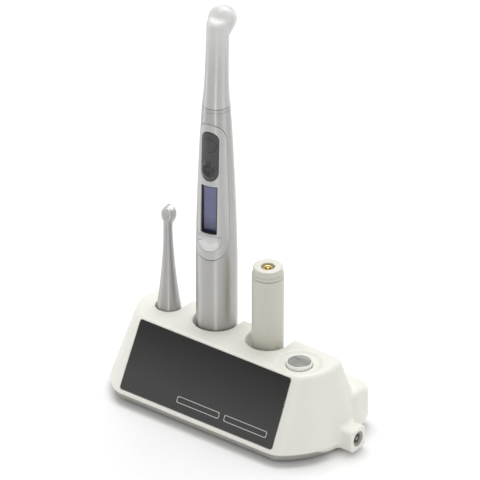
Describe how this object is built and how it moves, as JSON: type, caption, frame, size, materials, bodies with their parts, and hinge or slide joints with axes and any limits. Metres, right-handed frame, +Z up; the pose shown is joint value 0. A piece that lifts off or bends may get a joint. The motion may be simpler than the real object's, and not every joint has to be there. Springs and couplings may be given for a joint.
{
  "type": "dental curing light",
  "caption": "Cordless curing light standing in a wedge-shaped charging stand with a slim spare light tip, a spare battery and a light meter.",
  "frame": {"origin": "centre of the whole object's footprint, on the surface that its rubber feet stand on", "axes": "+Z up along the handpiece, +X to the right along the stand's front towards the power inlet, +Y from the sloped front panel to the back"},
  "size_m": [0.1807, 0.0786, 0.2685],
  "materials": {
    "shell_plastic": "satin off-white moulding",
    "panel": "semi-gloss charcoal overlay",
    "silver_paint": "satin silver paint",
    "fascia_paint": "satin light silver paint",
    "tip_plastic": "satin pale silver",
    "battery_plastic": "matte warm off-white",
    "dark_rubber": "soft-touch charcoal",
    "white_plastic": "gloss white",
    "grey_glass": "smoked grey window",
    "display_glass": "blue-violet display window",
    "gold": "gold plated",
    "steel": "satin",
    "circuit_board": "green solder mask",
    "cell_wrap": "shrink wrap",
    "lens_glass": "clear moulded lens"
  },
  "bodies": {
    "stand": {"base_housing": "shell_plastic", "bottom_cover": "shell_plastic", "front_panel": "panel", "meter_ring": "white_plastic", "meter_window": "grey_glass", "meter_sensor": "circuit_board", "jack_shell": "dark_rubber", "jack_pin": "steel", "charger_board": "circuit_board", "handpiece_charge_stud_1": "gold", "handpiece_charge_stud_2": "gold", "battery_charge_stud_1": "gold", "battery_charge_stud_2": "gold", "battery_locating_ring": "shell_plastic", "cover_screw_1": "steel", "cover_screw_2": "steel", "cover_screw_3": "steel", "cover_screw_4": "steel", "rubber_foot_1": "dark_rubber", "rubber_foot_2": "dark_rubber", "rubber_foot_3": "dark_rubber", "rubber_foot_4": "dark_rubber"},
    "handpiece": {"handpiece_barrel": "silver_paint", "fascia": "fascia_paint", "button_pad": "dark_rubber", "display_window": "display_glass", "display_module": "circuit_board", "thumb_rest": "white_plastic", "trim_ring": "silver_paint", "tip_socket": "dark_rubber", "handpiece_board": "circuit_board", "handpiece_cell": "cell_wrap", "end_cap": "silver_paint", "end_contact": "gold"},
    "activation_button": {"activation_button": "dark_rubber"},
    "mode_button": {"mode_button": "dark_rubber"},
    "fitted_tip_plug": {"fitted_tip_plug": "steel"},
    "fitted_tip": {"fitted_tip_stem": "tip_plastic", "fitted_tip_heat_core": "steel", "fitted_tip_emitter": "circuit_board", "fitted_tip_lens_ring": "white_plastic", "fitted_tip_lens": "lens_glass"},
    "spare_tip_plug": {"spare_tip_plug": "steel"},
    "spare_tip": {"spare_tip_stem": "tip_plastic", "spare_tip_heat_core": "steel", "spare_tip_emitter": "circuit_board", "spare_tip_lens_ring": "white_plastic", "spare_tip_lens": "lens_glass"},
    "spare_battery": {"battery_sleeve": "battery_plastic", "battery_cap": "battery_plastic", "battery_cell": "cell_wrap", "battery_foot_contact": "gold", "battery_contact_disc": "gold", "battery_contact_stud": "gold"}
  },
  "joints": [
    {"name": "handpiece_lift", "type": "slide", "parent": "stand", "child": "handpiece", "axis": [0, 0, 1], "range_m": [0, 0.04]},
    {"name": "activation_press", "type": "slide", "parent": "handpiece", "child": "activation_button", "axis": [-0.1908, 0.9816, 0], "range_m": [0, 0.0008], "stiffness_N_per_m": 400},
    {"name": "mode_press", "type": "slide", "parent": "handpiece", "child": "mode_button", "axis": [-0.1908, 0.9816, 0], "range_m": [0, 0.0006], "stiffness_N_per_m": 400},
    {"name": "fitted_tip_pull", "type": "slide", "parent": "handpiece", "child": "fitted_tip_plug", "axis": [0, 0, 1], "range_m": [0, 0.016]},
    {"name": "fitted_tip_swivel", "type": "hinge", "parent": "fitted_tip_plug", "child": "fitted_tip", "pos_m": [-0.02265, 0.01005, 0.2063], "axis": [0, 0, 1], "continuous": true},
    {"name": "spare_tip_lift", "type": "slide", "parent": "stand", "child": "spare_tip_plug", "axis": [0, 0, 1], "range_m": [0, 0.03]},
    {"name": "spare_tip_swivel", "type": "hinge", "parent": "spare_tip_plug", "child": "spare_tip", "pos_m": [-0.05755, 0.00605, 0.0438], "axis": [0, 0, 1], "continuous": true},
    {"name": "battery_lift", "type": "slide", "parent": "stand", "child": "spare_battery", "axis": [0, 0, 1], "range_m": [0, 0.04]}
  ]
}
